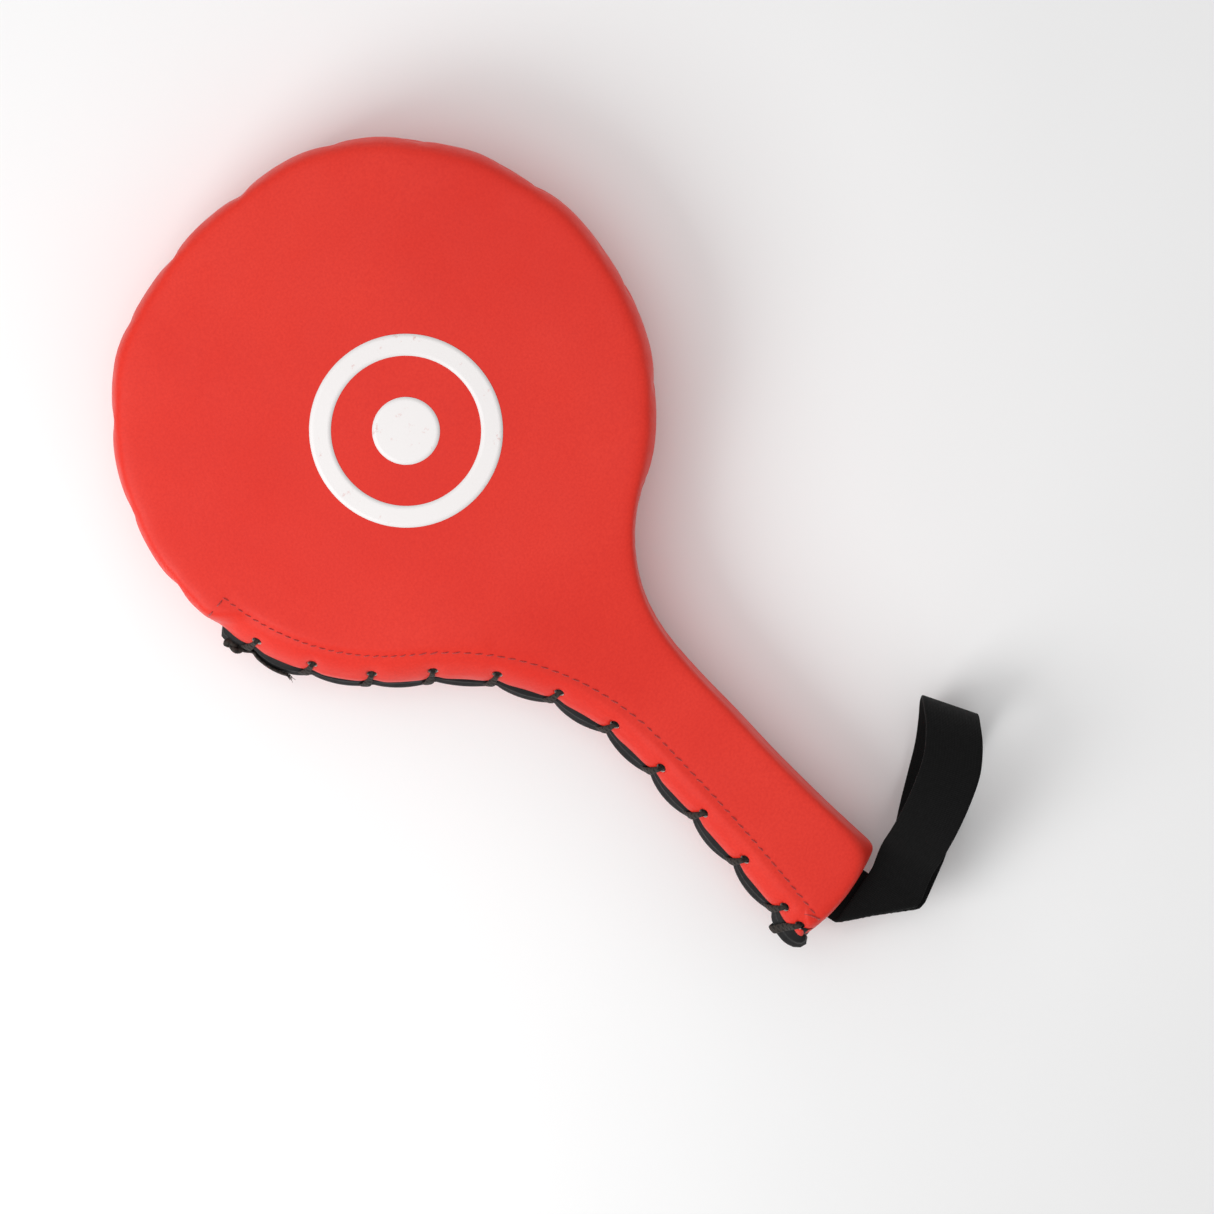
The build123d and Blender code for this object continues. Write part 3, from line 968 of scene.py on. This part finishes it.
def spline(points, steps):
    """A smooth line through points; each row may carry more values than x, y and z."""
    points = np.array(points, float)
    padded = np.vstack([2 * points[0] - points[1], points, 2 * points[-1] - points[-2]])
    result = []
    for i in range(len(points) - 1):
        a, b, c, d = padded[i : i + 4]
        for t in np.linspace(0, 1, steps, endpoint=False):
            result.append(
                0.5 * (2 * b + (c - a) * t + (2 * a - 5 * b + 4 * c - d) * t**2
                       + (3 * b - a - 3 * c + d) * t**3)
            )
    result.append(points[-1])
    return np.array(result)


def unit(vectors):
    return vectors / np.maximum(np.linalg.norm(vectors, axis=-1, keepdims=True), 1e-9)


def swept(path, facing_out, widths, heights, sides=12):
    """Points, faces and UVs of a closed tube whose section is widest across facing_out."""
    along = unit(np.gradient(path, axis=0))
    out = unit(facing_out - along * np.sum(facing_out * along, axis=1, keepdims=True))
    across = np.cross(along, out)
    travel = np.concatenate([[0], np.cumsum(np.linalg.norm(np.diff(path, axis=0), axis=1))])
    points, uvs = [], []
    for i in range(len(path)):
        for j in range(sides):
            turn = 2 * math.pi * j / sides
            c, s = math.cos(turn), math.sin(turn)
            w = widths[i] / 2 * math.copysign(abs(c) ** 0.8, c)
            h = heights[i] / 2 * math.copysign(abs(s) ** 0.8, s)
            points.append(path[i] + across[i] * w + out[i] * h)
            uvs.append((travel[i] * MM, abs(2 * j / sides - 1) * widths[i] * MM))
    faces = grid_faces(len(path), sides, True)
    last = (len(path) - 1) * sides
    faces.append(tuple(range(sides - 1, -1, -1)))
    faces.append(tuple(last + j for j in range(sides)))
    return points, faces, uvs, travel[-1]


class Bundle:
    """Several tubes gathered into one piece."""

    def __init__(self):
        self.points, self.faces, self.uvs = [], [], []

    def add(self, points, faces, uvs):
        first = len(self.points)
        self.points += list(points)
        self.uvs += list(uvs)
        self.faces += [tuple(first + i for i in f) for f in faces]

    def tube(self, path, facing_out, widths, heights, sides=12):
        points, faces, uvs, length = swept(path, facing_out, widths, heights, sides)
        self.add(points, faces, uvs)
        return length

    def piece(self, name):
        return mesh_object(name, self.points, self.faces, self.uvs)


def edge_spot(travel, out, up):
    """A point by its distance along the outline, out from it, and up from mid-thickness."""
    spot = at_travel(EDGE, travel) + at_travel(EDGE_OUT, travel) * out
    return np.array([*spot, MID + up])


def edge_direction(travel, out, up):
    direction = at_travel(EDGE_OUT, travel) * out
    return np.array([*direction, up])


def dash(bundle, surface, side, places, rise, dive, size):
    """One stitch over places on a cover, given in plan; it dives in at both ends."""
    path, ups = [], []
    for place, t in zip(places, np.linspace(-0.5, 0.5, len(places))):
        spot, normal = dropped(surface, place, side)
        path.append(np.array(spot) + np.array(normal) * (rise - dive * abs(t) ** 3))
        ups.append(np.array(normal))
    bundle.tube(np.array(path), np.array(ups), size, size, 8)


def stitch_row(name, side, surface, node):
    """The hem's dashes, and the two that turn back to the edge at the head end."""
    draw = random.Random(11 + side)
    bundle = Bundle()
    slim = [THREAD * (1 - 0.5 * abs(t) ** 2) for t in np.linspace(-1, 1, 7)]
    travel = STITCH_START
    while travel < OPENING_LENGTH + 3:
        slant = draw.uniform(0.1, 0.5)
        length = STITCH_PITCH * draw.uniform(0.62, 0.74)
        steps = np.linspace(-0.5, 0.5, 7)
        places = [inset_spot(travel + t * length, STITCH_INSET + slant * t * 2) for t in steps]
        dash(bundle, surface, side, places, 0.22, 2.6, slim)
        travel += STITCH_PITCH
    for share in (0.25, 0.75):
        insets = [STITCH_INSET * share + t * 3.0 for t in np.linspace(-0.5, 0.5, 5)]
        places = [inset_spot(TURN_BACK, inset) for inset in insets]
        dash(bundle, surface, side, places, 0.2, 2.4, [THREAD] * 5)
    piece = bundle.piece(name)
    wear(piece, RED_THREAD)
    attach(piece, "paddle")
    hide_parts(node)


stitch_row("front_hem_dashes", 1, front, "front_hem_stitching")
stitch_row("back_hem_dashes", -1, back, "back_hem_stitching")


# ---------------------------------------------------------------- tongue and lace

# How far the tongue swells up to the first pair of holes, and then from each pair to the next
BAY_BULGE = [3.0, 3.3, 1.6, 1.4, 2.2, 3.2, 3.4, 3.2, 3.0, 3.0, 3.0, 3.2]
TONGUE_START = 0.0
TONGUE_REST = 1.4
TONGUE_SUNK = -2.2
TONGUE_HALF = 6.2
END_BULGE_START = 277.0
END_BULGE = 4.6


def tongue_crest(travel):
    """How far out the tongue's ridge stands."""
    stops = [TONGUE_START, *hole_travels()]
    bulge = 0.0
    for low, high, height in zip(stops, stops[1:], BAY_BULGE):
        if low <= travel < high:
            bulge = height * math.sin(math.pi * (travel - low) / (high - low)) ** 0.7
    end = END_BULGE * float(smooth((travel - END_BULGE_START) / 9))
    start = float(smooth((travel - TONGUE_START) / 4))
    closing = max(0.0, (travel - OPENING_LENGTH + 5) / 9)
    crest = TONGUE_REST + max(bulge, end)
    return TONGUE_SUNK + (crest - TONGUE_SUNK) * start * math.sqrt(max(0.0, 1 - closing**2))


def tongue():
    travels = np.arange(TONGUE_START, OPENING_LENGTH + 4, 1.3)
    turns = np.radians(np.linspace(-82, 82, 25))
    points = []
    for travel in travels:
        crest = tongue_crest(travel)
        row = [(-6.6, -12.0), (-4.6, -9.0)]
        for turn in turns:
            pleat = 0.75 * math.cos(turn * 6.1 + 0.6 * math.sin(travel / 17)) * math.cos(turn)
            out = TONGUE_SUNK + (crest - TONGUE_SUNK) * math.cos(turn) ** 0.85 + pleat
            row.append((out, TONGUE_HALF * math.sin(turn)))
        row += [(-4.6, 9.0), (-6.6, 12.0)]
        points += [edge_spot(travel, out, up) for out, up in row]
    piece = mesh_object("lace_tongue_skin", points, grid_faces(len(travels), len(turns) + 4, False))
    normals_towards(piece, edge_direction(60, 1, 0))
    modified(piece, "SOLIDIFY", thickness=1.2 * MM, offset=-1.0)
    piece.data.shade_smooth()
    wear(piece, BLACK)
    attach(piece, "paddle")
    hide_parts("lace_tongue")


LACE_THICK = 1.5
LACE_NARROW = 1.8
LACE_WIDE = 4.0
LACE_MIDDLING = LACE_NARROW * 1.4
FIBRE_WIDTHS = [0.34, 0.3, 0.26, 0.2, 0.1]
FIBRE_HEIGHTS = [0.3, 0.28, 0.24, 0.2, 0.1]


def lace_controls():
    """Rows of place, outward direction and width along the lace's whole run."""
    rows = []

    def add(spot, direction, width):
        rows.append([*spot, *direction, width])

    holes = hole_travels()
    for i, hole in enumerate(holes):
        place = inset_spot(hole, HOLE_INSET)
        front_spot, front_up = (np.array(v) for v in dropped(front, place, 1))
        back_spot, back_up = (np.array(v) for v in dropped(back, place, -1))
        crest = tongue_crest(hole)
        add(front_spot - front_up * 3.2, front_up, LACE_NARROW)
        add(front_spot + front_up * 0.5, front_up, LACE_NARROW)
        add(edge_spot(hole - 0.8, -1.7, 12.2), edge_direction(hole, 0.75, 0.65), LACE_MIDDLING)
        add(edge_spot(hole - 2.2, 1.5, 7.2), edge_direction(hole, 0.9, 0.4), LACE_WIDE)
        add(edge_spot(hole - 3.8, crest + 1.2, 0), edge_direction(hole, 1, 0), LACE_WIDE)
        add(edge_spot(hole - 2.2, 1.5, -7.2), edge_direction(hole, 0.9, -0.4), LACE_WIDE)
        add(edge_spot(hole - 0.8, -1.7, -12.2), edge_direction(hole, 0.75, -0.65), LACE_MIDDLING)
        add(back_spot + back_up * 0.5, back_up, LACE_NARROW)
        add(back_spot - back_up * 3.2, back_up, LACE_NARROW)
        if i + 1 < len(holes):
            gap = holes[i + 1] - hole
            add(edge_spot(hole + gap * 0.25, -9.2, -8), edge_direction(hole, 1, 0), LACE_NARROW)
            add(edge_spot(hole + gap * 0.5, -9.6, 0), edge_direction(hole, 1, 0), LACE_NARROW)
            add(edge_spot(hole + gap * 0.75, -9.2, 8), edge_direction(hole, 1, 0), LACE_NARROW)
    return rows


def knot(bundle, travel, out, up, size):
    """An overhand knot in the lace's end."""
    centre = edge_spot(travel, out, up)
    along = unit(edge_spot(travel + 1, out, up) - edge_spot(travel - 1, out, up))
    aside = edge_direction(travel, 1, 0)
    path = []
    for turn in np.linspace(0, 2 * math.pi, 60):
        x = math.sin(turn) + 2 * math.sin(2 * turn)
        y = math.cos(turn) - 2 * math.cos(2 * turn)
        z = -math.sin(3 * turn)
        offset = along * x * 1.15 + np.array([0, 0, 1]) * y * 0.8 + aside * z * 0.9
        path.append(centre + size * offset)
    path = np.array(path)
    bundle.tube(path, unit(path - centre), [2.4] * 60, [1.9] * 60, 10)


def frayed_tail(bundle, start, end):
    """A tail that lies along the tongue and ends cut, in loose fibres."""
    stops = np.linspace(start, end, 9)
    path = [edge_spot(t, tongue_crest(t) + 0.9, 1.5 + 0.8 * math.sin(t / 5)) for t in stops]
    path = spline(path, 5)
    count = len(path)
    outs = [edge_direction(start + (end - start) * i / count, 1, 0.2) for i in range(count)]
    outs = np.array(outs)
    bundle.tube(path, outs, [2.6] * count, [1.4] * count, 10)
    draw = random.Random(4)
    for _ in range(14):
        root = path[-1] + np.array([draw.uniform(-0.7, 0.7) for _ in range(3)])
        sideways = edge_direction(end, 0.5, draw.uniform(-0.5, 0.5))
        away = unit(sideways + unit(path[-1] - path[-4]) * draw.uniform(0.4, 1.4))
        reach = draw.uniform(1.6, 3.6)
        bend = np.array([draw.uniform(-0.5, 0.5) for _ in range(3)])
        fibre = np.array([root + away * reach * t + bend * t * t for t in np.linspace(0, 1, 5)])
        bundle.tube(fibre, np.tile([0.0, 0.0, 1.0], (5, 1)), FIBRE_WIDTHS, FIBRE_HEIGHTS, 5)


def lace():
    bundle = Bundle()
    run = spline(lace_controls(), 6)
    widths = run[:, 6]
    heights = np.full(len(run), LACE_THICK) + (LACE_WIDE - widths) * 0.2
    length = bundle.tube(run[:, :3], run[:, 3:6], widths, heights, 14)
    knot(bundle, FIRST_HOLE - 7.5, tongue_crest(FIRST_HOLE - 7.5) + 0.2, 2.0, 1.15)
    knot(bundle, hole_travels()[-1] + 0.5, 1.6, -9.5, 1.1)
    frayed_tail(bundle, FIRST_HOLE - 5.0, FIRST_HOLE + 17.0)
    print(f"lace drawn {length:.0f} mm long between its knots")
    piece = bundle.piece("flat_lace")
    wear(piece, LACE)
    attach(piece, "paddle")
    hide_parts("lace")


tongue()
lace()


# ---------------------------------------------------------------- wrist strap

SEAM_LEFT = np.array([-11.0, -284.0])
SEAM_RIGHT = np.array([13.0, -279.0])
LEAVES = np.array([0.204, -0.979])
FOLD_ANGLES = {1: -32.2, -1: -35.0}  # of the front and back folds from +X, in degrees
FOLD_RADIUS = 1.35
ROOT_UP = 1.1
ROOT_HIDDEN = -5.0
BEND_START = 17.0

# The loop: run from the hinge, up from mid-thickness, and aside, to the far end and back
LOOP = [
    (5.5, 7.0, -1.6), (14, 13.6, -0.6), (25, 19.6, 0.6), (38, 22.6, 1.4), (51, 21.4, 1.4),
    (62, 17.0, -1.0), (69.5, 9.4, -4.0), (72.4, 0.0, -5.2), (69.6, -9.4, -4.4),
    (62, -17.0, -1.8), (51, -21.4, 0.8), (38, -22.4, 2.2), (25, -19.4, 3.0),
    (14, -13.4, 3.4), (5.5, -7.0, 2.4),
]


def strap_plane(run, aside):
    return np.array([HINGE[0], HINGE[1]]) + np.array(RUN) * run + np.array(ACROSS) * aside


def heading(angle):
    """A direction in plan, by its angle from +X in degrees."""
    return np.array([math.cos(math.radians(angle)), math.sin(math.radians(angle))])


def folded(across, travel, side):
    """A root of the band: out of the seam, and back over itself along a slanted fold."""
    middle = (SEAM_LEFT + SEAM_RIGHT) / 2
    flat = middle + unit(SEAM_RIGHT - SEAM_LEFT) * across + LEAVES * travel
    fold_along = heading(FOLD_ANGLES[side])
    fold_out = heading(FOLD_ANGLES[side] - 90)
    along = (flat - SEAM_LEFT) @ fold_along
    beyond = (flat - SEAM_LEFT) @ fold_out
    up = ROOT_UP
    arc_length = math.pi * FOLD_RADIUS
    if beyond > arc_length:
        beyond = arc_length - beyond
        up += 2 * FOLD_RADIUS
    elif beyond > 0:
        turn = beyond / FOLD_RADIUS
        beyond = FOLD_RADIUS * math.sin(turn)
        up += FOLD_RADIUS * (1 - math.cos(turn))
    spot = SEAM_LEFT + fold_along * along + fold_out * beyond
    return np.array([*spot, MID + side * up])


def fold_travel(side):
    """How far the band's middle travels to reach its fold."""
    way = heading(FOLD_ANGLES[side] - 90)
    start = ((SEAM_LEFT + SEAM_RIGHT) / 2 - SEAM_LEFT) @ way
    return (math.pi * FOLD_RADIUS / 2 - start) / (LEAVES @ way)


def strap_root(widths, side):
    """Rows of points from the seam past the fold, to where the loop starts to rise."""
    travels = np.arange(ROOT_HIDDEN, fold_travel(side) + BEND_START, 0.9)
    return [[folded(w, travel, side) for w in widths] for travel in travels]


def strap_points():
    """Rows of points across the band, from one end in the seam, round the loop to the other."""
    widths = np.linspace(-BAND / 2, BAND / 2, 13)
    middle = len(widths) // 2
    front_root, back_root = strap_root(widths, 1), strap_root(widths, -1)
    controls = [front_root[-3][middle], front_root[-1][middle]]
    controls += [[*strap_plane(run, aside), MID + up] for run, up, aside in LOOP]
    controls += [back_root[-1][middle], back_root[-3][middle]]
    path = spline(controls, 9)[9:-9]
    travel = np.concatenate([[0], np.cumsum(np.linalg.norm(np.diff(path, axis=0), axis=1))])
    total = travel[-1]
    places = np.linspace(0, total, int(total / 1.2))[1:-1]
    path = np.stack([np.interp(places, travel, path[:, k]) for k in range(3)], 1)
    loop_way = np.array([*ACROSS, 0.0])
    rows = list(front_root)
    for spot, place in zip(path, places):
        root = front_root if place < total / 2 else back_root
        root_way = unit(root[-1][-1] - root[-1][0])
        share = float(smooth(min(place, total - place) / 48))
        way = unit(root_way * (1 - share) + loop_way * share)
        rows.append([spot + way * w for w in widths])
    return rows + back_root[::-1], widths


def wrist_strap():
    rows, widths = strap_points()
    points, uvs = [], []
    travel = 0.0
    middle = len(widths) // 2
    for i, row in enumerate(rows):
        if i:
            travel += float(np.linalg.norm(row[middle] - rows[i - 1][middle]))
        for spot, w in zip(row, widths):
            points.append(spot)
            uvs.append((travel * MM, w * MM))
    print(f"band {travel:.0f} mm long from seam to seam")
    piece = mesh_object("elastic_wrist_band", points, grid_faces(len(rows), len(widths), False), uvs)
    modified(piece, "SOLIDIFY", thickness=BAND_THICKNESS * MM, offset=0.0, use_even_offset=True)
    modified(piece, "BEVEL", width=0.5 * MM, segments=2, limit_method="ANGLE",
             angle_limit=math.radians(60))
    piece.data.shade_smooth()
    wear(piece, ELASTIC)
    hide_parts("wrist_strap", "strap_root_tab")
    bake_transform(piece)


TACKS = 9
TACK_TRAVEL = 3.0
TACK_LENGTH = 1.9


def strap_tacks():
    """A row of stitches on each side of the band, just below the seam."""
    bundle = Bundle()
    way = unit(SEAM_RIGHT - SEAM_LEFT)
    for side in (1, -1):
        for across in np.linspace(-9.5, 10.5, TACKS):
            path = []
            for t in np.linspace(-0.5, 0.5, 5):
                spot = (SEAM_LEFT + SEAM_RIGHT) / 2 + way * (across + t * TACK_LENGTH) + LEAVES * TACK_TRAVEL
                up = ROOT_UP + BAND_THICKNESS / 2 + 0.15 - 2.2 * abs(t) ** 3
                path.append([*spot, MID + side * up])
            ups = np.tile([0.0, 0.0, float(side)], (5, 1))
            bundle.tube(np.array(path), ups, [0.55] * 5, [0.5] * 5, 8)
    piece = bundle.piece("strap_tacks")
    wear(piece, BLACK_THREAD)
    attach(piece, "paddle")
    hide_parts("strap_tack_stitching")


wrist_strap()
strap_tacks()

cad_looks = {
    "front_impact_foam": DENSE_FOAM,
    "back_impact_foam": DENSE_FOAM,
    "stiffener_board": PLYWOOD,
    "side_seam_thread": RED_THREAD,
}
for node, look in cad_looks.items():
    wear(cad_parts[node], look)
